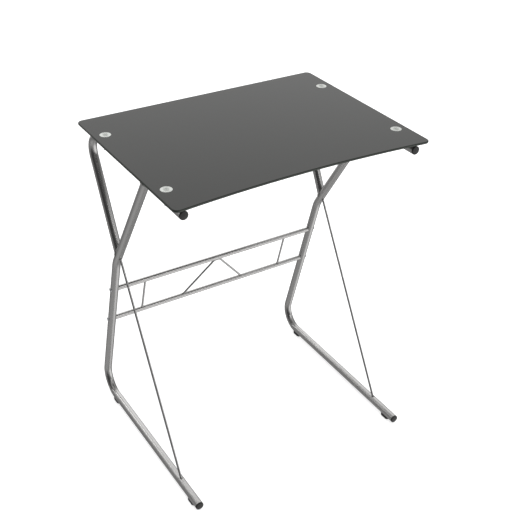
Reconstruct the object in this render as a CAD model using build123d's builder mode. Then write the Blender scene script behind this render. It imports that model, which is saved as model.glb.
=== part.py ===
from build123d import *

import os
from math import atan2, degrees, pi, tan

os.makedirs("parts", exist_ok=True)

# Small computer desk: a black glass top on two bent-tube side frames, tied by a rear cross brace.
# Millimetres. X runs left to right, Y front to back, Z up. The origin is on the floor, in the
# middle of the footprint. Heights, rises and drops of bars and tubes are those of their axes.

# ---------------------------------------------------------------- driving dimensions
# Glass top
HEIGHT = 750.0                # floor to the top of the glass
TOP_WIDTH = 600.0
TOP_DEPTH = 450.0
TOP_THICKNESS = 5.0
TOP_SETBACK = 10.0            # middle of the glass, behind the middle of the footprint
TOP_FRONT_BOW = 16.0          # how far the front edge curves in at its middle
TOP_CORNER_RADIUS = 12.0
TOP_EDGE_ROUND = 1.5          # polished round on the edges of the glass

# Side frames: round tube, one bent tube for rail and rear stay, one for leg and foot
TUBE_DIAMETER = 19.0
TUBE_WALL = 1.2
FRAME_INSET = 26.0            # tube axis to the side edge of the glass
RAIL_FRONT_INSET = 18.0       # cut front end of the rail, behind the front corners of the glass
RAIL_CORNER_OVERHANG = 6.5    # where rail and stay axes would cross, behind the glass
RAIL_BEND_RADIUS = 38.0
LEG_TOP_SETBACK = 152.0       # leg on the rail, behind the rail's front end
KINK_Y = 130.0                # where the leg's two straight runs would cross
KINK_DROP = 305.0             # below the top of the glass
KINK_BEND_RADIUS = 80.0
JOINT_RISE = 28.0             # above the kink, where the stay and the rod meet the leg
LEG_CORNER_Y = 250.0          # where leg and foot axes would cross
FOOT_BEND_RADIUS = 48.0
ROD_DIAMETER = 5.0
ROD_FOOT_Y = -161.0           # where the rod meets the foot
WELD_GAP = 0.1                # a coped end and the tube that it is welded to

# Rear cross brace
BRACE_DIAMETER = 12.0
BRACE_WALL = 1.2
UPPER_BRACE_DROP = 88.0       # below the legs' kink
LOWER_BRACE_DROP = 189.0
STRUT_DIAMETER = 5.0
END_STRUT_SETBACK = 79.0      # end strut to the frame beside it
CENTRE_STRUT_SPREAD = 174.0   # between the feet of the centre strut
CENTRE_STRUT_FLAT = 16.0      # length of its flat peak, between the bends' virtual corners
CENTRE_STRUT_BEND = 7.0
BRACE_END_GAP = 0.15          # coped brace end and leg

# Fixings
DISC_DIAMETER = 24.0          # metal discs bonded under the glass
DISC_THICKNESS = 6.0
DISC_CHAMFER = 0.6
DISC_FRONT_INSET = 84.0       # disc centre to the front corners of the glass
DISC_REAR_INSET = 92.0        # disc centre to the rear edge of the glass
DISC_HOLE_DEPTH = 5.0
PAD_DIAMETER = 22.0           # saddle pads between disc and rail
PAD_CROWN = 2.0               # pad thickness over the top of the rail
PAD_SKIRT = 3.0               # how far a pad reaches down beside the rail
PAD_CLEARANCE = 0.15
BOLT_DIAMETER = 6.0
BOLT_HEAD_DIAMETER = 10.0
BOLT_HEAD_HEIGHT = 1.6
BOLT_HEAD_ROUND = 0.8
BOLT_SOCKET_WIDTH = 4.0       # across the corners of the hexagon
BOLT_SOCKET_DEPTH = 1.1
BOLT_TIP_GAP = 0.5            # bolt tip to the bottom of its hole
THREAD_CLEARANCE = 0.1        # radial, bolt in a tapped hole
HOLE_CLEARANCE = 0.3          # radial, bolt in a plain hole
INSERT_LENGTH = 18.0          # threaded inserts in the brace ends
INSERT_SETBACK = 4.0          # insert to the leg's side
INSERT_CLEARANCE = 0.05

# Plastic end plugs and floor glides
PLUG_FLANGE = 3.2
PLUG_CROWN = 0.9              # dome of the plug's face
PLUG_EDGE_ROUND = 1.4
PLUG_BARREL_LENGTH = 14.0
PLUG_BARREL_GAP = 0.45        # radial, barrel in the tube
PLUG_BORE_DIAMETER = 11.0
PLUG_RIB_GAP = 0.08           # radial, rib in the tube
PLUG_RIB_WIDTH = 1.2
PLUG_RIB_COUNT = 3
GLIDE_HEIGHT = 4.0            # floor to the underside of the foot
GLIDE_LENGTH = 26.0
GLIDE_WIDTH = 17.0
GLIDE_WRAP = 4.0              # how far the glide's cheeks reach up beside the tube
GLIDE_CORNER_RADIUS = 6.0
GLIDE_EDGE_ROUND = 1.2
GLIDE_CLEARANCE = 0.15
GLIDE_PIN_DIAMETER = 6.0
GLIDE_PIN_REACH = 5.0         # pin above the inside of the tube's wall
GLIDE_PIN_CLEARANCE = 0.1
FRONT_GLIDE_INSET = 33.0      # glide centre to the foremost point of the foot
REAR_GLIDE_INSET = 64.0       # glide centre to the rearmost point of the foot

# ---------------------------------------------------------------- places worked out from them
SIDES = {"left": -1, "right": 1}

tube_radius = TUBE_DIAMETER / 2
frame_x = TOP_WIDTH / 2 - FRAME_INSET
top_front = TOP_SETBACK - TOP_DEPTH / 2
top_rear = TOP_SETBACK + TOP_DEPTH / 2
glass_underside = HEIGHT - TOP_THICKNESS
disc_underside = glass_underside - DISC_THICKNESS
rail_height = disc_underside - PAD_CROWN - tube_radius
foot_height = GLIDE_HEIGHT + tube_radius

# Side-frame points, as (y, z) on the tubes' axes
rail_end = (top_front + RAIL_FRONT_INSET, rail_height)
rail_corner = (top_rear + RAIL_CORNER_OVERHANG, rail_height)
leg_top = (rail_end[0] + LEG_TOP_SETBACK, rail_height)
kink = (KINK_Y, HEIGHT - KINK_DROP)
leg_corner = (LEG_CORNER_Y, foot_height)
rod_foot = (ROD_FOOT_Y, foot_height)


def at_height(start, end, height):
    """The point of a sloping run from start to end that lies at a height."""
    share = (height - start[1]) / (end[1] - start[1])
    return (start[0] + share * (end[0] - start[0]), height)


joint = at_height(leg_top, kink, kink[1] + JOINT_RISE)
upper_brace = at_height(kink, leg_corner, kink[1] - UPPER_BRACE_DROP)
lower_brace = at_height(kink, leg_corner, kink[1] - LOWER_BRACE_DROP)

# The foot is as long in front of the origin as its rear bend reaches behind it
leg_lean = atan2(leg_corner[0] - kink[0], kink[1] - leg_corner[1])
foot_bend_y = LEG_CORNER_Y - FOOT_BEND_RADIUS * tan((pi / 2 + leg_lean) / 2)
base_reach = foot_bend_y + FOOT_BEND_RADIUS + tube_radius
foot_end = (PLUG_FLANGE + PLUG_CROWN - base_reach, foot_height)

# The leg's length and slope in the brace's plane, which leans with the legs
brace_lift = Vector(0, upper_brace[0] - lower_brace[0], upper_brace[1] - lower_brace[1])
brace_gap = brace_lift.length
brace_plane = Plane(
    origin=(0, *lower_brace),
    x_dir=(1, 0, 0),
    z_dir=Vector(1, 0, 0).cross(brace_lift),
)


def bar(start, end, radius, mode=Mode.ADD):
    """A round bar from start to end, added to or cut from the piece that is being built."""
    reach = Vector(*end) - Vector(*start)
    with Locations(Plane(origin=start, z_dir=reach).location):
        Cylinder(radius, reach.length, align=(Align.CENTER, Align.CENTER, Align.MIN), mode=mode)


def socket_bolt(seat, direction, shank_length):
    """A pan-head bolt with a hexagon socket, seated at seat, its shank along direction."""
    seat_plane = Plane(origin=seat, z_dir=direction)
    with BuildPart() as bolt:
        with BuildSketch(seat_plane):
            Circle(BOLT_HEAD_DIAMETER / 2)
        extrude(amount=-BOLT_HEAD_HEIGHT)
        crown = bolt.faces().filter_by(GeomType.PLANE).sort_by(Axis(seat, direction))[0]
        fillet(crown.edges(), BOLT_HEAD_ROUND)
        with BuildSketch(seat_plane):
            Circle(BOLT_DIAMETER / 2)
        extrude(amount=shank_length)
        with BuildSketch(seat_plane.offset(-BOLT_HEAD_HEIGHT)):
            RegularPolygon(BOLT_SOCKET_WIDTH / 2, side_count=6)
        extrude(amount=BOLT_SOCKET_DEPTH, mode=Mode.SUBTRACT)
    return bolt.part


def end_plug(tube_end):
    """A hollow ribbed plug with a domed flange, pushed into a tube's front end."""
    outward = Plane(origin=tube_end, x_dir=(0, -1, 0), z_dir=(-1, 0, 0))
    bore_radius = tube_radius - TUBE_WALL
    barrel_radius = bore_radius - PLUG_BARREL_GAP
    rim = PLUG_FLANGE - PLUG_EDGE_ROUND
    with BuildPart() as plug:
        with BuildSketch(outward):
            with BuildLine():
                Polyline(
                    (0, 0),
                    (0, PLUG_BORE_DIAMETER / 2),
                    (-PLUG_BARREL_LENGTH, PLUG_BORE_DIAMETER / 2),
                    (-PLUG_BARREL_LENGTH, barrel_radius),
                    (0, barrel_radius),
                    (0, tube_radius),
                    (rim, tube_radius),
                )
                RadiusArc((rim, tube_radius), (PLUG_FLANGE, tube_radius - PLUG_EDGE_ROUND), PLUG_EDGE_ROUND)
                Line((PLUG_FLANGE, tube_radius - PLUG_EDGE_ROUND), (PLUG_FLANGE + PLUG_CROWN, 0))
                Line((PLUG_FLANGE + PLUG_CROWN, 0), (0, 0))
            make_face()
        revolve(axis=Axis(tube_end, (0, 1, 0)))
        rib_pitch = PLUG_BARREL_LENGTH / (PLUG_RIB_COUNT + 1)
        for rib in range(PLUG_RIB_COUNT):
            rib_start = tube_end[1] + (rib + 1) * rib_pitch
            with BuildSketch(Plane.XZ.offset(-rib_start)):
                with Locations((tube_end[0], tube_end[2])):
                    Circle(bore_radius - PLUG_RIB_GAP)
                    Circle(PLUG_BORE_DIAMETER / 2, mode=Mode.SUBTRACT)
            extrude(amount=-PLUG_RIB_WIDTH)
    return plug.part


# ---------------------------------------------------------------- glass top
with BuildPart() as glass_top:
    with BuildSketch(Plane.XY.offset(glass_underside)) as top_outline:
        with BuildLine():
            Polyline(
                (-TOP_WIDTH / 2, top_front),
                (-TOP_WIDTH / 2, top_rear),
                (TOP_WIDTH / 2, top_rear),
                (TOP_WIDTH / 2, top_front),
            )
            ThreePointArc(
                (TOP_WIDTH / 2, top_front),
                (0, top_front + TOP_FRONT_BOW),
                (-TOP_WIDTH / 2, top_front),
            )
        make_face()
        fillet(top_outline.vertices(), TOP_CORNER_RADIUS)
    extrude(amount=TOP_THICKNESS)
    flats = glass_top.faces().filter_by(Axis.Z)
    fillet(flats.edges(), TOP_EDGE_ROUND)

glass_top.part.label = "glass_top"
export_step(glass_top.part, "parts/glass_top.step")

# ---------------------------------------------------------------- discs, pads and top bolts
disc_rows = {"front": top_front + DISC_FRONT_INSET, "rear": top_rear - DISC_REAR_INSET}

for side, sign in SIDES.items():
    for row, disc_y in disc_rows.items():
        disc_x = sign * frame_x
        hole_top = (disc_x, disc_y, disc_underside + DISC_HOLE_DEPTH)

        with BuildPart() as disc:
            bar((disc_x, disc_y, disc_underside), (disc_x, disc_y, glass_underside), DISC_DIAMETER / 2)
            chamfer(disc.faces().sort_by(Axis.Z)[0].edges(), DISC_CHAMFER)
            bar(
                (disc_x, disc_y, disc_underside),
                hole_top,
                BOLT_DIAMETER / 2 + THREAD_CLEARANCE,
                Mode.SUBTRACT,
            )
        disc.part.label = f"disc_{row}_{side}"
        export_step(disc.part, f"parts/disc_{row}_{side}.step")

        pad_foot = (disc_x, disc_y, rail_height + tube_radius - PAD_SKIRT)
        with BuildPart() as pad:
            bar(pad_foot, (disc_x, disc_y, disc_underside), PAD_DIAMETER / 2)
            bar(
                (disc_x, disc_y - PAD_DIAMETER, rail_height),
                (disc_x, disc_y + PAD_DIAMETER, rail_height),
                tube_radius + PAD_CLEARANCE,
                Mode.SUBTRACT,
            )
            bar(
                (disc_x, disc_y, rail_height),
                (disc_x, disc_y, disc_underside),
                BOLT_DIAMETER / 2 + HOLE_CLEARANCE,
                Mode.SUBTRACT,
            )
        pad.part.label = f"saddle_pad_{row}_{side}"
        export_step(pad.part, f"parts/saddle_pad_{row}_{side}.step")

        bolt_seat = (disc_x, disc_y, rail_height - tube_radius)
        bolt = socket_bolt(bolt_seat, (0, 0, 1), hole_top[2] - BOLT_TIP_GAP - bolt_seat[2])
        bolt.label = f"top_bolt_{row}_{side}"
        export_step(bolt, f"parts/top_bolt_{row}_{side}.step")

# ---------------------------------------------------------------- side frames
for side, sign in SIDES.items():
    x = sign * frame_x
    frame_plane = Plane.YZ.offset(x)

    # Rail along the glass, bent down at the back into the stay that is welded to the leg
    with BuildPart() as rail:
        with BuildLine(frame_plane) as rail_route:
            FilletPolyline(rail_end, rail_corner, joint, radius=RAIL_BEND_RADIUS)
        with BuildSketch(Plane(origin=rail_route.line @ 0, z_dir=rail_route.line % 0)):
            Circle(tube_radius)
            Circle(tube_radius - TUBE_WALL, mode=Mode.SUBTRACT)
        sweep()
        bar((x, *leg_top), (x, *kink), tube_radius + WELD_GAP, Mode.SUBTRACT)
        for disc_y in disc_rows.values():
            bar(
                (x, disc_y, rail_height - TUBE_DIAMETER),
                (x, disc_y, rail_height + TUBE_DIAMETER),
                BOLT_DIAMETER / 2 + HOLE_CLEARANCE,
                Mode.SUBTRACT,
            )
    rail.part.label = f"rail_and_stay_{side}"
    export_step(rail.part, f"parts/rail_and_stay_{side}.step")

    # Leg from the rail down to the floor, bent forward into the foot
    glide_rows = {"front": FRONT_GLIDE_INSET - base_reach, "rear": base_reach - REAR_GLIDE_INSET}
    with BuildPart() as leg:
        with BuildLine(frame_plane) as leg_route:
            FilletPolyline(leg_top, kink, leg_corner, foot_end, radius=[KINK_BEND_RADIUS, FOOT_BEND_RADIUS])
        with BuildSketch(Plane(origin=leg_route.line @ 0, z_dir=leg_route.line % 0)):
            Circle(tube_radius)
            Circle(tube_radius - TUBE_WALL, mode=Mode.SUBTRACT)
        sweep()
        bar((x, *rail_end), (x, *rail_corner), tube_radius + WELD_GAP, Mode.SUBTRACT)
        for brace_point in (upper_brace, lower_brace):
            bar(
                (x - TUBE_DIAMETER, *brace_point),
                (x + TUBE_DIAMETER, *brace_point),
                BOLT_DIAMETER / 2 + HOLE_CLEARANCE,
                Mode.SUBTRACT,
            )
        for glide_y in glide_rows.values():
            bar(
                (x, glide_y, 0),
                (x, glide_y, foot_height),
                GLIDE_PIN_DIAMETER / 2 + GLIDE_PIN_CLEARANCE,
                Mode.SUBTRACT,
            )
    leg.part.label = f"leg_and_foot_{side}"
    export_step(leg.part, f"parts/leg_and_foot_{side}.step")

    # Rod from the joint down to the foot, coped to both tubes
    with BuildPart() as rod:
        bar((x, *joint), (x, *rod_foot), ROD_DIAMETER / 2)
        bar((x, *leg_top), (x, *kink), tube_radius + WELD_GAP, Mode.SUBTRACT)
        bar((x, *leg_corner), (x, *foot_end), tube_radius + WELD_GAP, Mode.SUBTRACT)
    rod.part.label = f"rod_{side}"
    export_step(rod.part, f"parts/rod_{side}.step")

    # Plugs in the two open front ends
    for place, tube_end in {"rail": rail_end, "foot": foot_end}.items():
        plug = end_plug((x, *tube_end))
        plug.label = f"{place}_plug_{side}"
        export_step(plug, f"parts/{place}_plug_{side}.step")

    # Glides under the foot, each with a pin up through the tube's wall
    for row, glide_y in glide_rows.items():
        with BuildPart() as glide:
            with BuildSketch():
                with Locations((x, glide_y)):
                    RectangleRounded(GLIDE_WIDTH, GLIDE_LENGTH, GLIDE_CORNER_RADIUS)
            extrude(amount=GLIDE_HEIGHT + GLIDE_WRAP)
            fillet(glide.faces().sort_by(Axis.Z)[0].edges(), GLIDE_EDGE_ROUND)
            bar(
                (x, glide_y - GLIDE_LENGTH, foot_height),
                (x, glide_y + GLIDE_LENGTH, foot_height),
                tube_radius + GLIDE_CLEARANCE,
                Mode.SUBTRACT,
            )
            pin_top = GLIDE_HEIGHT + TUBE_WALL + GLIDE_PIN_REACH
            bar((x, glide_y, GLIDE_HEIGHT / 2), (x, glide_y, pin_top), GLIDE_PIN_DIAMETER / 2)
        glide.part.label = f"glide_{row}_{side}"
        export_step(glide.part, f"parts/glide_{row}_{side}.step")

# ---------------------------------------------------------------- rear cross brace
brace_radius = BRACE_DIAMETER / 2

for level, brace_point in {"upper": upper_brace, "lower": lower_brace}.items():
    # Tube between the legs, its ends coped to them
    with BuildPart() as brace:
        with BuildSketch(Plane.YZ.offset(-frame_x)):
            with Locations(brace_point):
                Circle(brace_radius)
                Circle(brace_radius - BRACE_WALL, mode=Mode.SUBTRACT)
        extrude(amount=2 * frame_x)
        for sign in SIDES.values():
            bar(
                (sign * frame_x, *kink),
                (sign * frame_x, *leg_corner),
                tube_radius + BRACE_END_GAP,
                Mode.SUBTRACT,
            )
    brace.part.label = f"{level}_brace"
    export_step(brace.part, f"parts/{level}_brace.step")

    for side, sign in SIDES.items():
        # Threaded insert inside the tube's end
        insert_start = (sign * (frame_x - tube_radius - INSERT_SETBACK), *brace_point)
        insert_end = (insert_start[0] - sign * INSERT_LENGTH, *brace_point)
        with BuildPart() as insert:
            bar(insert_start, insert_end, brace_radius - BRACE_WALL - INSERT_CLEARANCE)
            bar(insert_start, insert_end, BOLT_DIAMETER / 2 + THREAD_CLEARANCE, Mode.SUBTRACT)
        insert.part.label = f"{level}_brace_insert_{side}"
        export_step(insert.part, f"parts/{level}_brace_insert_{side}.step")

        # Bolt through the leg into the insert
        bolt_seat = (sign * (frame_x + tube_radius), *brace_point)
        bolt_tip = insert_end[0] + sign * BOLT_TIP_GAP
        bolt = socket_bolt(bolt_seat, (-sign, 0, 0), abs(bolt_seat[0] - bolt_tip))
        bolt.label = f"{level}_brace_bolt_{side}"
        export_step(bolt, f"parts/{level}_brace_bolt_{side}.step")


def brace_point_at(across, up):
    """A point of the brace's plane: across from the middle, up from the lower tube's axis."""
    return brace_plane.from_local_coords(Vector(across, up, 0))


lower_axis = [brace_point_at(across, 0) for across in (-frame_x, frame_x)]
upper_axis = [brace_point_at(across, brace_gap) for across in (-frame_x, frame_x)]

# Upright wires near the ends, welded between the two tubes
for side, sign in SIDES.items():
    strut_x = sign * (frame_x - END_STRUT_SETBACK)
    with BuildPart() as end_strut:
        bar(brace_point_at(strut_x, 0), brace_point_at(strut_x, brace_gap), STRUT_DIAMETER / 2)
        for axis_ends in (lower_axis, upper_axis):
            bar(*axis_ends, brace_radius + WELD_GAP, Mode.SUBTRACT)
    end_strut.part.label = f"end_strut_{side}"
    export_step(end_strut.part, f"parts/end_strut_{side}.step")

# One wire bent to an inverted V, its flat peak under the upper tube, its feet on the lower one
peak_lift = brace_gap - brace_radius - STRUT_DIAMETER / 2 - WELD_GAP
with BuildPart() as centre_strut:
    with BuildLine(brace_plane) as strut_route:
        FilletPolyline(
            (-CENTRE_STRUT_SPREAD / 2, 0),
            (-CENTRE_STRUT_FLAT / 2, peak_lift),
            (CENTRE_STRUT_FLAT / 2, peak_lift),
            (CENTRE_STRUT_SPREAD / 2, 0),
            radius=CENTRE_STRUT_BEND,
        )
    with BuildSketch(Plane(origin=strut_route.line @ 0, z_dir=strut_route.line % 0)):
        Circle(STRUT_DIAMETER / 2)
    sweep()
    bar(*lower_axis, brace_radius + WELD_GAP, Mode.SUBTRACT)
centre_strut.part.label = "centre_strut"
export_step(centre_strut.part, "parts/centre_strut.step")

print(f"footprint {2 * base_reach:.1f} deep, rail axis at {rail_height:.1f}, foot axis at {foot_height:.1f}")
print(f"leg leans {degrees(leg_lean):.1f} degrees below its kink, brace tubes {brace_gap:.1f} apart")
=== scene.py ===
# %% [markdown]
# # A small computer desk of black glass and bent silver tube
#
# The shapes of this desk were drawn in a CAD program, and they arrive here as one fixed frame:
# forty meshes, each already in its place. Blender's share is everything that CAD leaves out. It
# adds the weld beads that hold the tubes and wires together, and it gives every surface its real finish.
# All lengths are metres, as Blender has them, and a millimetre is written as MM.

# %% Load the frame
from math import cos, pi, radians, sin, sqrt

import bpy
from mathutils import Matrix, Vector


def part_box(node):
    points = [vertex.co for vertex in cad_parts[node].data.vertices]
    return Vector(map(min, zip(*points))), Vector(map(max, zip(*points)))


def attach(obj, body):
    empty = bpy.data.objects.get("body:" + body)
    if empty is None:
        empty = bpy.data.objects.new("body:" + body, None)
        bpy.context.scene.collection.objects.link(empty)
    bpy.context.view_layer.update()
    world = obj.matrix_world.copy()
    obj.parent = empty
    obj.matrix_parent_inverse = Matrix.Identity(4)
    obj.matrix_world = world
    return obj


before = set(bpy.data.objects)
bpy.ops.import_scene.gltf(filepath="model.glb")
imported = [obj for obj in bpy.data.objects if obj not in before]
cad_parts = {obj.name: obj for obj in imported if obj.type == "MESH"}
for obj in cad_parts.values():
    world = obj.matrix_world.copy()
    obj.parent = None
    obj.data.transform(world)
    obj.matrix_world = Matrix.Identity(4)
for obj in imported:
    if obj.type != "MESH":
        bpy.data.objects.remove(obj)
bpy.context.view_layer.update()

MM = 0.001

# %% [markdown]
# ## The camera
#
# The desk is seen from its front left corner, from a little above a standing person's eyes. A
# camera can be aimed with a Track To constraint, which always keeps it level. A hand-held camera
# is never quite level, so here its three axes are worked out from a heading, a pitch and a roll,
# and they become the columns of its matrix. Blender's camera looks along its own -Z.

# %% Camera
CAMERA_PLACE = Vector((-0.9485, -1.4926, 1.5650))
HEADING, PITCH, ROLL = radians(32.692), radians(32.293), radians(1.416)
LENS, SENSOR_WIDTH = 65.07, 36.0


def camera_axes(heading, pitch, roll):
    """The camera's right, up and forward directions. A heading of 0 looks along +Y."""
    forward = Vector((sin(heading) * cos(pitch), cos(heading) * cos(pitch), -sin(pitch)))
    level_right = Vector((cos(heading), -sin(heading), 0.0))
    level_up = level_right.cross(forward)
    right = level_right * cos(roll) + level_up * sin(roll)
    up = level_up * cos(roll) - level_right * sin(roll)
    return right, up, forward


right, up, forward = camera_axes(HEADING, PITCH, ROLL)
camera = bpy.data.objects.new("camera", bpy.data.cameras.new("camera"))
camera.data.sensor_width = SENSOR_WIDTH
camera.data.lens = LENS
camera.data.clip_end = 100.0
camera.matrix_world = Matrix.Translation(CAMERA_PLACE) @ Matrix((right, up, -forward)).transposed().to_4x4()
bpy.context.collection.objects.link(camera)
bpy.context.scene.camera = camera
print("camera", [round(value, 3) for value in camera.location], "lens", LENS)

# %% [markdown]
# ## Helpers for node trees
#
# Every finish below is a tree of nodes. Made by hand in the Shader Editor, a node takes four
# steps: add it, set its menus, type its values and draw its links. The first helper does all
# four in one call. The second makes a node group with named sockets, which is how one effect is
# shared by several materials, each with its own values. The rest are short names for the
# nodes that come up most often.

# %% Node helpers
def add(tree, kind, inputs=None, **settings):
    """A new node. An input is a number or colour, or the output socket that feeds it."""
    made = tree.nodes.new(kind)
    for name, value in settings.items():
        setattr(made, name, value)
    for socket, value in (inputs or {}).items():
        if isinstance(value, bpy.types.NodeSocket):
            tree.links.new(value, made.inputs[socket])
        else:
            made.inputs[socket].default_value = value
    return made


def new_group(name, kind, inputs, outputs):
    """A node group, with the sockets of its input node and of its output node."""
    tree = bpy.data.node_groups.new(name, kind)
    for label, socket_type, value in inputs:
        socket = tree.interface.new_socket(label, in_out="INPUT", socket_type=socket_type)
        if value is not None:
            socket.default_value = value
    for label, socket_type in outputs:
        tree.interface.new_socket(label, in_out="OUTPUT", socket_type=socket_type)
    return tree, tree.nodes.new("NodeGroupInput").outputs, tree.nodes.new("NodeGroupOutput").inputs


def use(tree, group, **inputs):
    """A group node in a material. An underscore in an input's name stands for a space."""
    made = add(tree, "ShaderNodeGroup", node_tree=group)
    for name, value in inputs.items():
        socket = made.inputs[name.replace("_", " ")]
        if isinstance(value, bpy.types.NodeSocket):
            tree.links.new(value, socket)
        else:
            socket.default_value = value
    return made.outputs


def maths(tree, operation, *values):
    """The result of a Math node."""
    return add(tree, "ShaderNodeMath", dict(enumerate(values)), operation=operation).outputs[0]


def vectors(tree, operation, *values, output="Vector"):
    """The result of a Vector Math node: a vector, or its Value output for a length or a product."""
    made = add(tree, "ShaderNodeVectorMath", dict(enumerate(values)), operation=operation)
    return made.outputs[output]


def spread(tree, value, from_min, from_max, to_min, to_max, smooth=False):
    """A value carried from one range to another, held at its ends."""
    kind = "SMOOTHSTEP" if smooth else "LINEAR"
    inputs = {"Value": value, "From Min": from_min, "From Max": from_max, "To Min": to_min, "To Max": to_max}
    return add(tree, "ShaderNodeMapRange", inputs, interpolation_type=kind).outputs[0]


def mix_colour(tree, factor, first, second, blend="MIX"):
    """A colour between two, each an RGBA colour or a socket."""
    inputs = {0: factor, 6: first, 7: second}
    return add(tree, "ShaderNodeMix", inputs, data_type="RGBA", blend_type=blend).outputs[2]


def mix_value(tree, factor, first, second):
    """A number between two."""
    return add(tree, "ShaderNodeMix", {0: factor, 2: first, 3: second}, data_type="FLOAT").outputs[0]


def grey(value, warmth=0.0):
    """An RGBA grey, made a little warmer or cooler."""
    return (value * (1 + warmth), value, value * (1 - warmth), 1.0)


print("helpers ready")

# %% [markdown]
# ## Floor and light
#
# Silver tube and black glass have almost no colour of their own, so they show the room. A studio
# gives such things a bright wall to reflect on one side and a dark one on the other, because
# evenly lit metal looks like grey plastic. The room here is a World shader: soft boxes, each a
# direction with a soft edge, on a dim ground. It costs nothing to render and has no edges for
# the glass to show. The camera itself sees plain white, through the Light Path node.

# %% Soft box group for the world
soft_box, box_in, box_out = new_group(
    "Soft box",
    "ShaderNodeTree",
    [
        ("View", "NodeSocketVector", None),
        ("Direction", "NodeSocketVector", (0.0, 0.0, 1.0)),
        ("Inner angle", "NodeSocketFloat", 20.0),
        ("Outer angle", "NodeSocketFloat", 60.0),
        ("Strength", "NodeSocketFloat", 1.0),
    ],
    [("Light", "NodeSocketFloat")],
)
unit = vectors(soft_box, "NORMALIZE", box_in["Direction"])
facing = vectors(soft_box, "DOT_PRODUCT", box_in["View"], unit, output="Value")
angle = maths(soft_box, "DEGREES", maths(soft_box, "ARCCOSINE", facing))
falloff = spread(soft_box, angle, box_in["Outer angle"], box_in["Inner angle"], 0.0, 1.0, smooth=True)
soft_box.links.new(maths(soft_box, "MULTIPLY", falloff, box_in["Strength"]), box_out["Light"])
print("soft box group:", len(soft_box.nodes), "nodes")

# %% Studio world
SOFT_BOXES = {  # direction, inner angle, outer angle, strength
    "back wall": ((0.24, 0.89, 0.30), 22.0, 64.0, 1.22),
    "back wall on the left": ((-0.74, 0.67, 0.09), 15.0, 48.0, 0.20),
    "ceiling": ((0.02, -0.26, 0.97), 15.0, 65.0, 0.42),
    "right wall": ((0.88, -0.41, 0.26), 15.0, 60.0, 0.35),
    "floor on the right": ((0.62, -0.62, -0.47), 15.0, 58.0, 0.78),
    "floor in front": ((0.16, -0.80, -0.57), 15.0, 60.0, 0.30),
    "floor underneath": ((0.00, 0.10, -1.00), 20.0, 70.0, 0.26),
    "floor on the left": ((-0.68, 0.18, -0.71), 15.0, 55.0, 0.20),
    "key lamp": ((0.25, -0.82, 0.50), 4.0, 13.0, 2.50),
    "side lamp": ((-0.68, 0.42, 0.60), 3.0, 10.0, 2.50),
    "strip lamp behind": ((-0.21, 0.71, 0.67), 2.0, 8.0, 2.50),
}
ROOM_LIGHT = 0.055

world = bpy.data.worlds.new("studio")
world.use_nodes = True
studio = world.node_tree
studio.nodes.clear()
look = add(studio, "ShaderNodeTexCoord").outputs["Generated"]
light = ROOM_LIGHT
for direction, inner, outer, strength in SOFT_BOXES.values():
    box = use(
        studio, soft_box,
        View=look, Direction=direction, Inner_angle=inner, Outer_angle=outer, Strength=strength,
    )
    light = maths(studio, "ADD", box["Light"], light)
seen = add(studio, "ShaderNodeLightPath").outputs["Is Camera Ray"]
shown = mix_value(studio, seen, light, 1.0)
background = add(studio, "ShaderNodeBackground", {"Strength": shown})
add(studio, "ShaderNodeOutputWorld", {"Surface": background.outputs[0]})
bpy.context.scene.world = world
bpy.context.scene.view_settings.view_transform = "Standard"
print("world with", len(SOFT_BOXES), "soft boxes")

# %% Floor and overhead lamp
FLOOR_REACH = 20.0
NEAR_GLOW = 0.74              # the floor's own light near the desk, where the lamp adds to it
WHITENS_FROM_TO = (1.0, 4.0)  # distances from the desk over which it glows fully
FADES_FROM_TO = (6.0, 18.0)   # and over which it fades out, so that no edge shows
LAMP_SIZE, LAMP_POWER = 2.5, 45.0

floor_mesh = bpy.data.meshes.new("floor")
corners = [(x * FLOOR_REACH, y * FLOOR_REACH, 0.0) for x, y in ((-1, -1), (1, -1), (1, 1), (-1, 1))]
floor_mesh.from_pydata(corners, [], [(0, 1, 2, 3)])
floor = bpy.data.objects.new("floor", floor_mesh)
bpy.context.collection.objects.link(floor)
floor.visible_glossy = False  # the tubes reflect the studio's soft boxes instead
floor_paint = bpy.data.materials.new("floor_paint")
floor_paint.use_nodes = True
tree = floor_paint.node_tree
pale = tree.nodes["Principled BSDF"]
pale.inputs["Base Color"].default_value = grey(0.8)
pale.inputs["Roughness"].default_value = 0.9
pale.inputs["Specular IOR Level"].default_value = 0.0
pale.inputs["Emission Color"].default_value = grey(1.0)
floor_place = add(tree, "ShaderNodeTexCoord").outputs["Object"]
from_desk = vectors(tree, "LENGTH", floor_place, output="Value")
glow = spread(tree, from_desk, *WHITENS_FROM_TO, NEAR_GLOW, 1.0)
tree.links.new(glow, pale.inputs["Emission Strength"])
from_below = add(tree, "ShaderNodeNewGeometry").outputs["Backfacing"]
far_away = spread(tree, from_desk, *FADES_FROM_TO, 0.0, 1.0, smooth=True)
unseen = maths(tree, "MAXIMUM", from_below, far_away)
clear = add(tree, "ShaderNodeBsdfTransparent").outputs[0]
one_sided = add(tree, "ShaderNodeMixShader", {0: unseen, 1: pale.outputs[0], 2: clear}).outputs[0]
tree.links.new(one_sided, tree.nodes["Material Output"].inputs["Surface"])
floor_mesh.materials.append(floor_paint)

lamp = bpy.data.objects.new("overhead", bpy.data.lights.new("overhead", "AREA"))
lamp.data.size = LAMP_SIZE
lamp.data.energy = LAMP_POWER
lamp.location = (0.5, -0.4, 2.8)
lamp.visible_glossy = False
lamp.visible_camera = False
bpy.context.collection.objects.link(lamp)
print("floor", 2 * FLOOR_REACH, "m wide, lamp", lamp.data.energy, "W")

# %% [markdown]
# ## Shared effects
#
# A finish is mostly made of small departures from an even colour. Four effects turn up on more
# than one material of this desk, so each is a node group: a fine grain, worn edges, the rings
# that a lathe leaves on a spun disc, and the place of the nearest disc. Groups only put out
# numbers. The Principled shader stays in each material, where its fixed values are easy to find.

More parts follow.
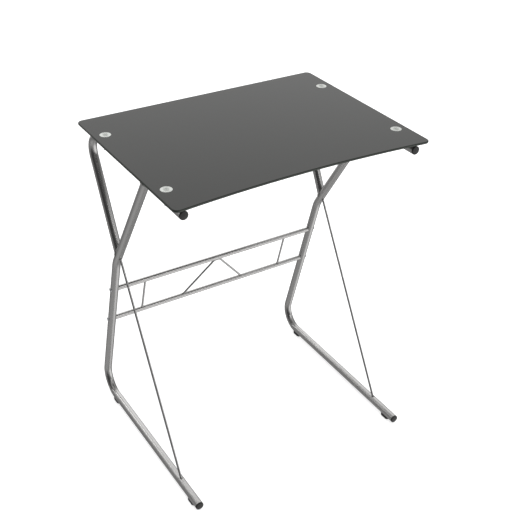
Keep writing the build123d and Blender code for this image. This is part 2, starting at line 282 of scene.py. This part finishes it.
# %% Grain group: two sizes of noise for colour, gloss and bump
grain, grain_in, grain_out = new_group(
    "Grain",
    "ShaderNodeTree",
    [
        ("Where", "NodeSocketVector", None),
        ("Fine size", "NodeSocketFloat", 0.5 * MM),
        ("Broad size", "NodeSocketFloat", 30 * MM),
        ("Fine share", "NodeSocketFloat", 0.5),
    ],
    [("Shade", "NodeSocketFloat"), ("Fine", "NodeSocketFloat"), ("Broad", "NodeSocketFloat")],
)


def noise_of_size(tree, where, size, detail, roughness=0.55):
    """Noise whose lumps are about size across, spread to fill 0 to 1."""
    scale = maths(tree, "DIVIDE", 1.0, size)
    inputs = {"Vector": where, "Scale": scale, "Detail": detail, "Roughness": roughness}
    return spread(tree, add(tree, "ShaderNodeTexNoise", inputs).outputs[0], 0.3, 0.7, 0.0, 1.0)


fine = noise_of_size(grain, grain_in["Where"], grain_in["Fine size"], 2.0)
broad = noise_of_size(grain, grain_in["Where"], grain_in["Broad size"], 4.0)
grain.links.new(mix_value(grain, grain_in["Fine share"], broad, fine), grain_out["Shade"])
grain.links.new(fine, grain_out["Fine"])
grain.links.new(broad, grain_out["Broad"])
print("grain group:", len(grain.nodes), "nodes")

# %% Edge wear group: where corners have rubbed
edge_wear, wear_in, wear_out = new_group(
    "Edge wear",
    "ShaderNodeTree",
    [
        ("Where", "NodeSocketVector", None),
        ("Width", "NodeSocketFloat", 0.5 * MM),
        ("Patch size", "NodeSocketFloat", 4 * MM),
        ("Amount", "NodeSocketFloat", 0.5),
    ],
    [("Mask", "NodeSocketFloat")],
)
rounded = add(edge_wear, "ShaderNodeBevel", {"Radius": wear_in["Width"]}, samples=4).outputs[0]
true_normal = add(edge_wear, "ShaderNodeNewGeometry").outputs["Normal"]
agree = vectors(edge_wear, "DOT_PRODUCT", rounded, true_normal, output="Value")
corner = spread(edge_wear, agree, 0.995, 0.85, 0.0, 1.0)
patches = noise_of_size(edge_wear, wear_in["Where"], wear_in["Patch size"], 3.0)
worn = maths(edge_wear, "MULTIPLY", maths(edge_wear, "MULTIPLY", corner, patches), wear_in["Amount"])
edge_wear.links.new(worn, wear_out["Mask"])
print("edge wear group:", len(edge_wear.nodes), "nodes")

# %% Where the discs are, read from their CAD nodes
disc_low, disc_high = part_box("disc_front_right")
rear_low, rear_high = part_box("disc_rear_right")
disc_radius = (disc_high[0] - disc_low[0]) / 2
frame_x = (disc_low[0] + disc_high[0]) / 2
disc_front_y = (disc_low[1] + disc_high[1]) / 2
disc_rear_y = (rear_low[1] + rear_high[1]) / 2
disc_top, disc_bottom = disc_high[2], disc_low[2]
print(f"discs at x {frame_x:.3f}, y {disc_front_y:.3f} and {disc_rear_y:.3f}, radius {disc_radius:.4f}")

# %% Nearest disc group: every point measured from the disc that it is nearest to
nearest_disc, near_in, near_out = new_group(
    "Nearest disc",
    "ShaderNodeTree",
    [("Where", "NodeSocketVector", None)],
    [("Outward", "NodeSocketVector"), ("Radius", "NodeSocketFloat")],
)
apart = add(nearest_disc, "ShaderNodeSeparateXYZ", {0: near_in["Where"]}).outputs
across = maths(nearest_disc, "SUBTRACT", maths(nearest_disc, "ABSOLUTE", apart[0]), frame_x)
is_rear = maths(nearest_disc, "GREATER_THAN", apart[1], (disc_front_y + disc_rear_y) / 2)
row_y = mix_value(nearest_disc, is_rear, disc_front_y, disc_rear_y)
along = maths(nearest_disc, "SUBTRACT", apart[1], row_y)
mirrored = maths(nearest_disc, "MULTIPLY", across, maths(nearest_disc, "SIGN", apart[0]))
centred = add(nearest_disc, "ShaderNodeCombineXYZ", {0: mirrored, 1: along}).outputs[0]
from_centre = vectors(nearest_disc, "LENGTH", centred, output="Value")
outward = vectors(nearest_disc, "NORMALIZE", centred)
nearest_disc.links.new(outward, near_out["Outward"])
nearest_disc.links.new(from_centre, near_out["Radius"])
print("nearest disc group:", len(nearest_disc.nodes), "nodes")

# %% Spun rings group: the tool marks of a lathe
RING_PITCH = 0.35 * MM
RING_SLOPE = 0.32
RING_RISE = 0.05 * MM

spun_rings, rings_in, rings_out = new_group(
    "Spun rings",
    "ShaderNodeTree",
    [
        ("Outward", "NodeSocketVector", None),
        ("Radius", "NodeSocketFloat", 0.0),
        ("Ring pitch", "NodeSocketFloat", RING_PITCH),
        ("Slope", "NodeSocketFloat", RING_SLOPE),
    ],
    [("Height", "NodeSocketFloat"), ("Shade", "NodeSocketFloat"), ("Flat normal", "NodeSocketVector")],
)
turns = maths(spun_rings, "DIVIDE", rings_in["Radius"], rings_in["Ring pitch"])
uneven = {"W": turns, "Scale": 0.35, "Detail": 2.0}
wobble = add(spun_rings, "ShaderNodeTexNoise", uneven, noise_dimensions="1D").outputs[0]
ring = maths(spun_rings, "SINE", maths(spun_rings, "MULTIPLY", turns, 2 * pi))
spun_rings.links.new(maths(spun_rings, "MULTIPLY", ring, wobble), rings_out["Height"])
spun_rings.links.new(spread(spun_rings, wobble, 0.3, 0.7, 0.0, 1.0), rings_out["Shade"])
lean = maths(spun_rings, "MULTIPLY", ring, rings_in["Slope"])
scaled = {0: rings_in["Outward"], "Scale": lean}
tilt = add(spun_rings, "ShaderNodeVectorMath", scaled, operation="SCALE").outputs[0]
upward = vectors(spun_rings, "ADD", tilt, (0.0, 0.0, 1.0))
spun_rings.links.new(vectors(spun_rings, "NORMALIZE", upward), rings_out["Flat normal"])
print("spun rings group:", len(spun_rings.nodes), "nodes")


# %% A start for each material
def new_material(name, **constants):
    """A material's tree, its Principled shader with fixed values, and Object coordinates."""
    material = bpy.data.materials.new(name)
    material.use_nodes = True
    tree = material.node_tree
    shader = tree.nodes["Principled BSDF"]
    for label, value in constants.items():
        shader.inputs[label.replace("_", " ")].default_value = value
    coordinates = tree.nodes.new("ShaderNodeTexCoord").outputs
    return material, tree, shader.inputs, coordinates


def bump(tree, height, distance, strength=1.0):
    """A normal from a height of 0 to 1, which stands for a rise of distance."""
    inputs = {"Height": height, "Distance": distance, "Strength": strength}
    return add(tree, "ShaderNodeBump", inputs).outputs[0]


def silver_finish(name, colour, dark, roughness, fine_size, **constants):
    """Metallic paint: flakes that catch the light one by one, under a thin clear coat."""
    material, tree, shader, coordinates = new_material(name, **constants)
    where = coordinates["Object"]
    flakes = use(tree, grain, Where=where, Fine_size=fine_size, Broad_size=45 * MM, Fine_share=0.55)
    peel = use(tree, grain, Where=where, Fine_size=1.2 * MM, Broad_size=5 * MM, Fine_share=0.6)
    rubbed = use(tree, edge_wear, Where=where, Width=0.5 * MM, Patch_size=3 * MM, Amount=0.7)
    painted = mix_colour(tree, flakes["Shade"], dark, colour)
    tree.links.new(mix_colour(tree, rubbed["Mask"], painted, grey(0.34, 0.04)), shader["Base Color"])
    gloss = spread(tree, flakes["Broad"], 0.0, 1.0, roughness - 0.04, roughness + 0.05)
    tree.links.new(mix_value(tree, rubbed["Mask"], gloss, 0.5), shader["Roughness"])
    tree.links.new(bump(tree, peel["Shade"], 0.005 * MM, 0.6), shader["Normal"])
    return material


print("material helpers ready")

# %% [markdown]
# ## Silver paint on the tubes
#
# The tubes are steel, sprayed with silver paint and baked. Such paint is not a mirror: its
# aluminium flakes lie nearly flat, so it reflects the room as a broad blur, with a faint sharper
# layer from the lacquer above. A Metallic of 1 with a middling Roughness is the blur, and the
# Coat is the lacquer. The orange-peel bump is what tells paint from polished chrome.

# %% Silver paint
silver_paint = silver_finish(
    "silver_paint", grey(0.74, 0.012), grey(0.62, 0.012), 0.25, 0.6 * MM,
    Metallic=1.0, Coat_Weight=0.35, Coat_Roughness=0.06,
)
silver_wire_paint = silver_finish(
    "silver_wire_paint", grey(0.72, 0.010), grey(0.58, 0.010), 0.30, 0.4 * MM,
    Metallic=1.0, Coat_Weight=0.25, Coat_Roughness=0.08,
)
print("silver paint on tube and on wire")

# %% [markdown]
# ## Weld metal
#
# The beads were painted with the tubes, but paint is thin over burnt, bumpy metal, so they look
# darker and rougher. The same silver recipe would make them vanish. This one mixes two greys by
# a coarse noise, with a stronger bump.

# %% Painted weld metal
weld_paint, tree, shader, coordinates = new_material("weld_paint", Metallic=0.9, Coat_Weight=0.1)
where = coordinates["Object"]
scale_marks = use(tree, grain, Where=where, Fine_size=0.5 * MM, Broad_size=3 * MM, Fine_share=0.4)
burnt = mix_colour(tree, scale_marks["Shade"], grey(0.14, 0.05), grey(0.42, 0.01))
tree.links.new(burnt, shader["Base Color"])
tree.links.new(spread(tree, scale_marks["Fine"], 0.0, 1.0, 0.36, 0.55), shader["Roughness"])
tree.links.new(bump(tree, scale_marks["Fine"], 0.08 * MM, 0.7), shader["Normal"])
print("weld paint:", len(tree.nodes), "nodes")

# %% [markdown]
# ## Spun discs
#
# Each corner of the glass is bonded to a metal disc, turned on a lathe. Its rings are finer than
# the eye can part, yet they pull the highlight into two bright lobes. Blender's Anisotropic
# input does that with a formula. A Bump node draws real rings close up, but from across a room
# it averages them away. So the window in the glass takes its normal from the rings themselves:
# each point leans outwards or inwards by the slope of its ring, at any distance.

# %% Spun metal
spun_metal, tree, shader, coordinates = new_material("spun_metal", Metallic=1.0)
centre = use(tree, nearest_disc, Where=coordinates["Object"])
rings = use(tree, spun_rings, Outward=centre["Outward"], Radius=centre["Radius"])
marks = use(tree, grain, Where=coordinates["Object"], Fine_size=0.6 * MM, Broad_size=6 * MM, Fine_share=0.5)
bright = mix_colour(tree, rings["Shade"], grey(0.70, 0.01), grey(0.88, 0.005))
scuffs = maths(tree, "MULTIPLY", marks["Shade"], 0.25)
tree.links.new(mix_colour(tree, scuffs, bright, grey(0.6, 0.02)), shader["Base Color"])
tree.links.new(spread(tree, rings["Shade"], 0.0, 1.0, 0.2, 0.32), shader["Roughness"])
tree.links.new(bump(tree, rings["Height"], RING_RISE), shader["Normal"])
print("spun metal:", len(tree.nodes), "nodes")

# %% [markdown]
# ## Black glass
#
# The top is clear glass, painted black on its underside, except for a round window over each
# disc. It could be built so: clear glass over a black sheet with holes. The rays would then pass
# the glass twice, which is slow and noisy, for a top that looks no different. Here the top is
# opaque. Its gloss is the glass, its black is the paint, and four windows show spun metal. The
# polished edge is a little greener, as all window glass is, and the underside is matt paint.

# %% Black glass, first its three faces
black_glass, tree, shader, coordinates = new_material(
    "black_glass", IOR=1.52, Specular_Tint=(1.0, 1.0, 0.965, 1.0),
)
where = coordinates["Object"]
face_z = add(tree, "ShaderNodeSeparateXYZ", {0: coordinates["Normal"]}).outputs[2]
is_under = spread(tree, face_z, -0.6, -0.8, 0.0, 1.0)
is_edge = spread(tree, maths(tree, "ABSOLUTE", face_z), 0.75, 0.55, 0.0, 1.0)
smears = use(tree, grain, Where=where, Fine_size=9 * MM, Broad_size=120 * MM, Fine_share=0.35)
specks = use(tree, grain, Where=where, Fine_size=0.9 * MM, Broad_size=60 * MM, Fine_share=0.8)
dust = spread(tree, specks["Shade"], 0.80, 0.95, 0.0, 1.0)
faint_dust = maths(tree, "MULTIPLY", dust, 0.3)
top_black = mix_colour(tree, faint_dust, (0.0036, 0.0044, 0.0036, 1), grey(0.02, 0.05))
edge_black = mix_colour(tree, specks["Fine"], (0.016, 0.021, 0.017, 1), (0.028, 0.036, 0.030, 1))
under_black = mix_colour(tree, specks["Shade"], grey(0.012), grey(0.020, 0.03))
faces = mix_colour(tree, is_under, mix_colour(tree, is_edge, top_black, edge_black), under_black)
top_gloss = spread(tree, smears["Shade"], 0.2, 0.9, 0.018, 0.05)
face_gloss = mix_value(tree, is_under, mix_value(tree, is_edge, top_gloss, 0.13), 0.5)

# %% Then its four windows
window_centre = use(tree, nearest_disc, Where=where)
window_rings = use(tree, spun_rings, Outward=window_centre["Outward"], Radius=window_centre["Radius"])
window_edge = spread(tree, window_centre["Radius"], disc_radius, disc_radius - 0.2 * MM, 0.0, 1.0)
window = maths(tree, "MULTIPLY", window_edge, spread(tree, face_z, 0.9, 0.97, 0.0, 1.0))
ringed_metal = mix_colour(tree, window_rings["Shade"], (0.60, 0.62, 0.60, 1), (0.82, 0.84, 0.82, 1))
# Painted shade: the middle of each window is painted darker. It stands for the dark middle of the reflection
# between the disc's two bright lobes, and the window itself is flat.
painted_dark_centre = spread(tree, window_centre["Radius"], 0.25 * disc_radius, 0.70 * disc_radius, 0.65, 0.0, smooth=True)
window_metal = mix_colour(tree, painted_dark_centre, ringed_metal, (0.34, 0.36, 0.34, 1))
tree.links.new(mix_colour(tree, window, faces, window_metal), shader["Base Color"])
tree.links.new(window, shader["Metallic"])
tree.links.new(mix_value(tree, window, face_gloss, 0.24), shader["Roughness"])
plain_normal = add(tree, "ShaderNodeNewGeometry").outputs["Normal"]
ring_normal = add(
    tree, "ShaderNodeMix", {0: window, 4: plain_normal, 5: window_rings["Flat normal"]}, data_type="VECTOR",
).outputs[1]
peel_height = maths(tree, "MULTIPLY", specks["Fine"], is_under)
under_peel = {"Height": peel_height, "Distance": 0.05 * MM, "Normal": ring_normal}
tree.links.new(add(tree, "ShaderNodeBump", under_peel).outputs[0], shader["Normal"])
print("black glass:", len(tree.nodes), "nodes")

# %% [markdown]
# ## Moulded plastic and zinc
#
# The end plugs, glides and pads are black polypropylene. The mould was spark-eroded, which
# leaves a fine even pebble. Their corners are painted a paler grey: partly wear from handling, partly
# a painted highlight on the rounded rims of the plugs. The bolts are zinc-plated: a dull blue-grey
# skin with cloudy patches, brighter where a key has rubbed.

# %% Moulded plastic
moulded_black, tree, shader, coordinates = new_material("moulded_black", IOR=1.49)
pebble = use(tree, grain, Where=coordinates["Object"], Fine_size=0.35 * MM, Broad_size=8 * MM, Fine_share=0.6)
# Paler corners: partly wear from handling, partly a painted highlight on the plugs' rounded rims.
wear_and_rim_sheen = use(tree, edge_wear, Where=coordinates["Object"], Width=0.6 * MM, Patch_size=2 * MM, Amount=0.8)
moulded = mix_colour(tree, pebble["Shade"], grey(0.008), grey(0.018, 0.02))
tree.links.new(mix_colour(tree, wear_and_rim_sheen["Mask"], moulded, grey(0.07, 0.02)), shader["Base Color"])
tree.links.new(spread(tree, pebble["Broad"], 0.0, 1.0, 0.30, 0.42), shader["Roughness"])
tree.links.new(bump(tree, pebble["Fine"], 0.02 * MM, 0.8), shader["Normal"])
print("moulded plastic:", len(tree.nodes), "nodes")

# %% Zinc plate
zinc_plate, tree, shader, coordinates = new_material("zinc_plate", Metallic=1.0)
where = coordinates["Object"]
clouds = use(tree, grain, Where=where, Fine_size=0.4 * MM, Broad_size=2.5 * MM, Fine_share=0.35)
keyed = use(tree, edge_wear, Where=coordinates["Object"], Width=0.3 * MM, Patch_size=1.2 * MM, Amount=0.9)
plated = mix_colour(tree, clouds["Shade"], (0.62, 0.64, 0.66, 1), (0.80, 0.81, 0.82, 1))
tree.links.new(mix_colour(tree, keyed["Mask"], plated, grey(0.8, 0.01)), shader["Base Color"])
tree.links.new(spread(tree, clouds["Broad"], 0.0, 1.0, 0.28, 0.44), shader["Roughness"])
tree.links.new(bump(tree, clouds["Fine"], 0.01 * MM, 0.6), shader["Normal"])
print("zinc plate:", len(tree.nodes), "nodes")

# %% [markdown]
# ## Finishing the CAD nodes
#
# Each CAD node arrives with one plain material, named after its slot in the record. So the
# slot's name says which finish it gets, and no node can be missed.

# %% A finish for every CAD node
FINISHES = {
    "black_glass": black_glass,
    "silver_tube": silver_paint,
    "silver_wire": silver_wire_paint,
    "bright_disc": spun_metal,
    "black_plastic": moulded_black,
    "zinc_steel": zinc_plate,
}
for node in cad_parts.values():
    for material_slot in node.material_slots:
        material_slot.material = FINISHES[material_slot.material.name.split(".")[0]]
print("finishes on", len(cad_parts), "nodes")

# %% [markdown]
# ## Where two tubes meet
#
# A weld bead follows the curve in which one round tube runs into the side of another. That
# curve has no simple name, but each of its points is easy: walk along the side of the first
# tube until the distance to the second one's axis equals its radius, which is one quadratic
# equation. The axes are measured on the CAD meshes, by cutting a tube and taking the middle of
# the cut, so the beads stay true if the frame changes.

# %% Measure the tubes
def cut_middle(node, axis, place, sign=0):
    """The middle of the ring where a plane across an axis cuts a node, on one side or both."""
    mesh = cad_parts[node].data
    ring = []
    for edge in mesh.edges:
        start, end = (mesh.vertices[index].co for index in edge.vertices)
        before, after = start[axis] - place, end[axis] - place
        if before * after < 0:
            point = start.lerp(end, before / (before - after))
            if sign * point.x >= 0:
                ring.append(point)
    return Vector([(min(p[k] for p in ring) + max(p[k] for p in ring)) / 2 for k in range(3)])


def run(node, axis, first, second, sign=0):
    """A straight run's axis: a point of it, and its direction towards the second cut."""
    start, end = cut_middle(node, axis, first, sign), cut_middle(node, axis, second, sign)
    return start, (end - start).normalized()


def seam(branch, branch_radius, main, main_radius, count=96):
    """The closed curve on which a branch tube's side meets the side of a main tube."""
    (start, along), (through, main_along) = branch, main
    side = along.orthogonal().normalized()
    other = along.cross(side)
    points = []
    for step in range(count):
        turn = 2 * pi * step / count
        line = start + (side * cos(turn) + other * sin(turn)) * branch_radius
        offset = line - through
        offset -= offset.dot(main_along) * main_along
        reach = along - along.dot(main_along) * main_along
        a, b, c = reach.dot(reach), 2 * offset.dot(reach), offset.dot(offset) - main_radius**2
        points.append(line + along * ((-b - sqrt(max(0.0, b * b - 4 * a * c))) / (2 * a)))
    return points


X, Y, Z = 0, 1, 2
tube_low, tube_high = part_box("rail_plug_right")
tube_radius = (tube_high[X] - tube_low[X]) / 2
brace_low, brace_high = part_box("upper_brace")
brace_radius = (brace_high[Z] - brace_low[Z]) / 2
rod_low, rod_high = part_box("rod_right")
rod_radius = (rod_high[X] - rod_low[X]) / 2
strut_low, strut_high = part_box("end_strut_right")
strut_radius = (strut_high[X] - strut_low[X]) / 2
print(f"radii: tube {tube_radius:.4f}, brace {brace_radius:.4f}")
print(f"radii: rod {rod_radius:.4f}, strut {strut_radius:.4f}")

# %% Seams of the frames, the rods and the struts
frame_seams, rod_seams, strut_seams = [], [], []
for side in ("left", "right"):
    leg = run(f"leg_and_foot_{side}", Z, 0.55, 0.68)
    rail = run(f"rail_and_stay_{side}", Y, 0.02, 0.10)
    stay = run(f"rail_and_stay_{side}", Z, 0.62, 0.52)
    foot = run(f"leg_and_foot_{side}", Y, -0.10, -0.15)
    rod_up = run(f"rod_{side}", Z, 0.10, 0.40)
    rod_down = run(f"rod_{side}", Z, 0.40, 0.10)
    frame_seams.append(seam(leg, tube_radius, rail, tube_radius))
    frame_seams.append(seam(stay, tube_radius, leg, tube_radius))
    rod_seams.append(seam(rod_up, rod_radius, leg, tube_radius))
    rod_seams.append(seam(rod_down, rod_radius, foot, tube_radius))

lower = run("lower_brace", X, -0.1, 0.1)
upper = run("upper_brace", X, -0.1, 0.1)
for side, sign in (("left", -1), ("right", 1)):
    for first, second, brace in ((0.28, 0.33, upper), (0.33, 0.28, lower)):
        end_strut = run(f"end_strut_{side}", Z, first, second)
        strut_seams.append(seam(end_strut, strut_radius, brace, brace_radius))
    centre_leg = run("centre_strut", Z, 0.32, 0.29, sign)
    strut_seams.append(seam(centre_leg, strut_radius, lower, brace_radius))
print(len(frame_seams), "frame seams,", len(rod_seams), "rod seams,", len(strut_seams), "strut seams")

# %% Seam of the centre strut's flat peak, which lies against the underside of the upper brace
PEAK_HALF_LENGTH, PEAK_HALF_WIDTH, PEAK_POINTS = 5.0 * MM, 1.3 * MM, 64

down = (lower[0] - upper[0]).normalized()
down = (down - down.dot(upper[1]) * upper[1]).normalized()
sideways = down.cross(upper[1])
contact = upper[0] - upper[0].dot(upper[1]) * upper[1] + down * brace_radius
peak_seam = []
for step in range(PEAK_POINTS):
    turn = 2 * pi * step / PEAK_POINTS
    along = upper[1] * PEAK_HALF_LENGTH * cos(turn)
    peak_seam.append(contact + along + sideways * PEAK_HALF_WIDTH * sin(turn))
strut_seams.append(peak_seam)
print("peak seam at", [round(value, 4) for value in contact])

# %% [markdown]
# ## Weld beads with Geometry Nodes
#
# A bead is laid as a row of small overlapping puddles. It could be one blob copied along the
# seam, but hundreds of copies cut through each other and make a messy mesh. Instead the node
# tree resamples the seam and lets the bead's radius rise and fall along it, once for each
# puddle. The number of puddles is rounded to a whole one, so the ring closes without a step.
# The named inputs are the sizes, so one tree makes thick and thin beads alike.

# %% Weld bead tree
bead_tree, bead_in, bead_out = new_group(
    "Weld bead",
    "GeometryNodeTree",
    [
        ("Seam", "NodeSocketGeometry", None),
        ("Bead radius", "NodeSocketFloat", 1.6 * MM),
        ("Puddle length", "NodeSocketFloat", 2.2 * MM),
        ("Puddle depth", "NodeSocketFloat", 0.28),
        ("Unevenness", "NodeSocketFloat", 0.25),
        ("Step", "NodeSocketFloat", 0.35 * MM),
        ("Sides", "NodeSocketInt", 10),
        ("Paint", "NodeSocketMaterial", None),
    ],
    [("Bead", "NodeSocketGeometry")],
)
seam_curve = add(bead_tree, "GeometryNodeMeshToCurve", {"Mesh": bead_in["Seam"]}).outputs[0]
evenly = {"Curve": seam_curve, "Length": bead_in["Step"]}
even_curve = add(bead_tree, "GeometryNodeResampleCurve", evenly, mode="LENGTH").outputs[0]
seam_length = add(bead_tree, "GeometryNodeSplineLength").outputs["Length"]
puddles = maths(bead_tree, "ROUND", maths(bead_tree, "DIVIDE", seam_length, bead_in["Puddle length"]))
share = add(bead_tree, "GeometryNodeSplineParameter").outputs["Factor"]
phase = maths(bead_tree, "MULTIPLY", maths(bead_tree, "MULTIPLY", share, puddles), pi)
crest = maths(bead_tree, "POWER", maths(bead_tree, "ABSOLUTE", maths(bead_tree, "SINE", phase)), 0.6)
hollow = maths(bead_tree, "MULTIPLY", maths(bead_tree, "SUBTRACT", 1.0, crest), bead_in["Puddle depth"])
drift = add(bead_tree, "ShaderNodeTexNoise", {"Scale": 220.0, "W": 7.0}, noise_dimensions="4D").outputs[0]
drift = maths(bead_tree, "MULTIPLY", maths(bead_tree, "SUBTRACT", drift, 0.5), bead_in["Unevenness"])
swell = maths(bead_tree, "ADD", maths(bead_tree, "SUBTRACT", 1.0, hollow), drift)
radius = maths(bead_tree, "MULTIPLY", swell, bead_in["Bead radius"])
ring_of_one = {"Resolution": bead_in["Sides"], "Radius": 1.0}
profile = add(bead_tree, "GeometryNodeCurvePrimitiveCircle", ring_of_one).outputs[0]
swept = {"Curve": even_curve, "Profile Curve": profile, "Scale": radius}
bead = add(bead_tree, "GeometryNodeCurveToMesh", swept).outputs[0]
smooth = add(bead_tree, "GeometryNodeSetShadeSmooth", {"Geometry": bead}).outputs[0]
real = add(bead_tree, "GeometryNodeRealizeInstances", {"Geometry": smooth}).outputs[0]
coated = {"Geometry": real, "Material": bead_in["Paint"]}
painted = add(bead_tree, "GeometryNodeSetMaterial", coated).outputs[0]
bead_tree.links.new(painted, bead_out["Bead"])
print("weld bead tree:", len(bead_tree.nodes), "nodes")


# %% Lay the beads
def laid_beads(name, seams, **sizes):
    """One piece with a bead on each seam: its modifier is run, and its result kept as a mesh."""
    guide = bpy.data.meshes.new(f"{name}_guide")
    points, edges = [], []
    for line in seams:
        first, count = len(points), len(line)
        points += line
        edges += [(first + step, first + (step + 1) % count) for step in range(count)]
    guide.from_pydata(points, edges, [])
    piece = bpy.data.objects.new(name, guide)
    bpy.context.collection.objects.link(piece)
    modifier = piece.modifiers.new("beads", "NODES")
    modifier.node_group = bead_tree
    names = {item.name: item.identifier for item in bead_tree.interface.items_tree if item.in_out == "INPUT"}
    for label, value in {**sizes, "Paint": weld_paint}.items():
        modifier[names[label.replace("_", " ")]] = value
    graph = bpy.context.evaluated_depsgraph_get()
    result = bpy.data.meshes.new_from_object(piece.evaluated_get(graph))
    piece.modifiers.clear()
    piece.data = result
    result.name = name
    print(name, len(seams), "beads,", len(result.polygons), "faces")
    return piece


frame_beads = laid_beads(
    "frame_weld_beads", frame_seams, Bead_radius=1.7 * MM, Puddle_length=2.4 * MM,
)
rod_beads = laid_beads(
    "rod_weld_beads", rod_seams, Bead_radius=1.1 * MM, Puddle_length=1.7 * MM, Step=0.25 * MM,
)
strut_beads = laid_beads(
    "strut_weld_beads", strut_seams, Bead_radius=0.9 * MM, Puddle_length=1.5 * MM, Step=0.25 * MM,
)
for piece, slot in ((frame_beads, "silver_tube"), (rod_beads, "silver_wire"), (strut_beads, "silver_wire")):
    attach(piece, "root")
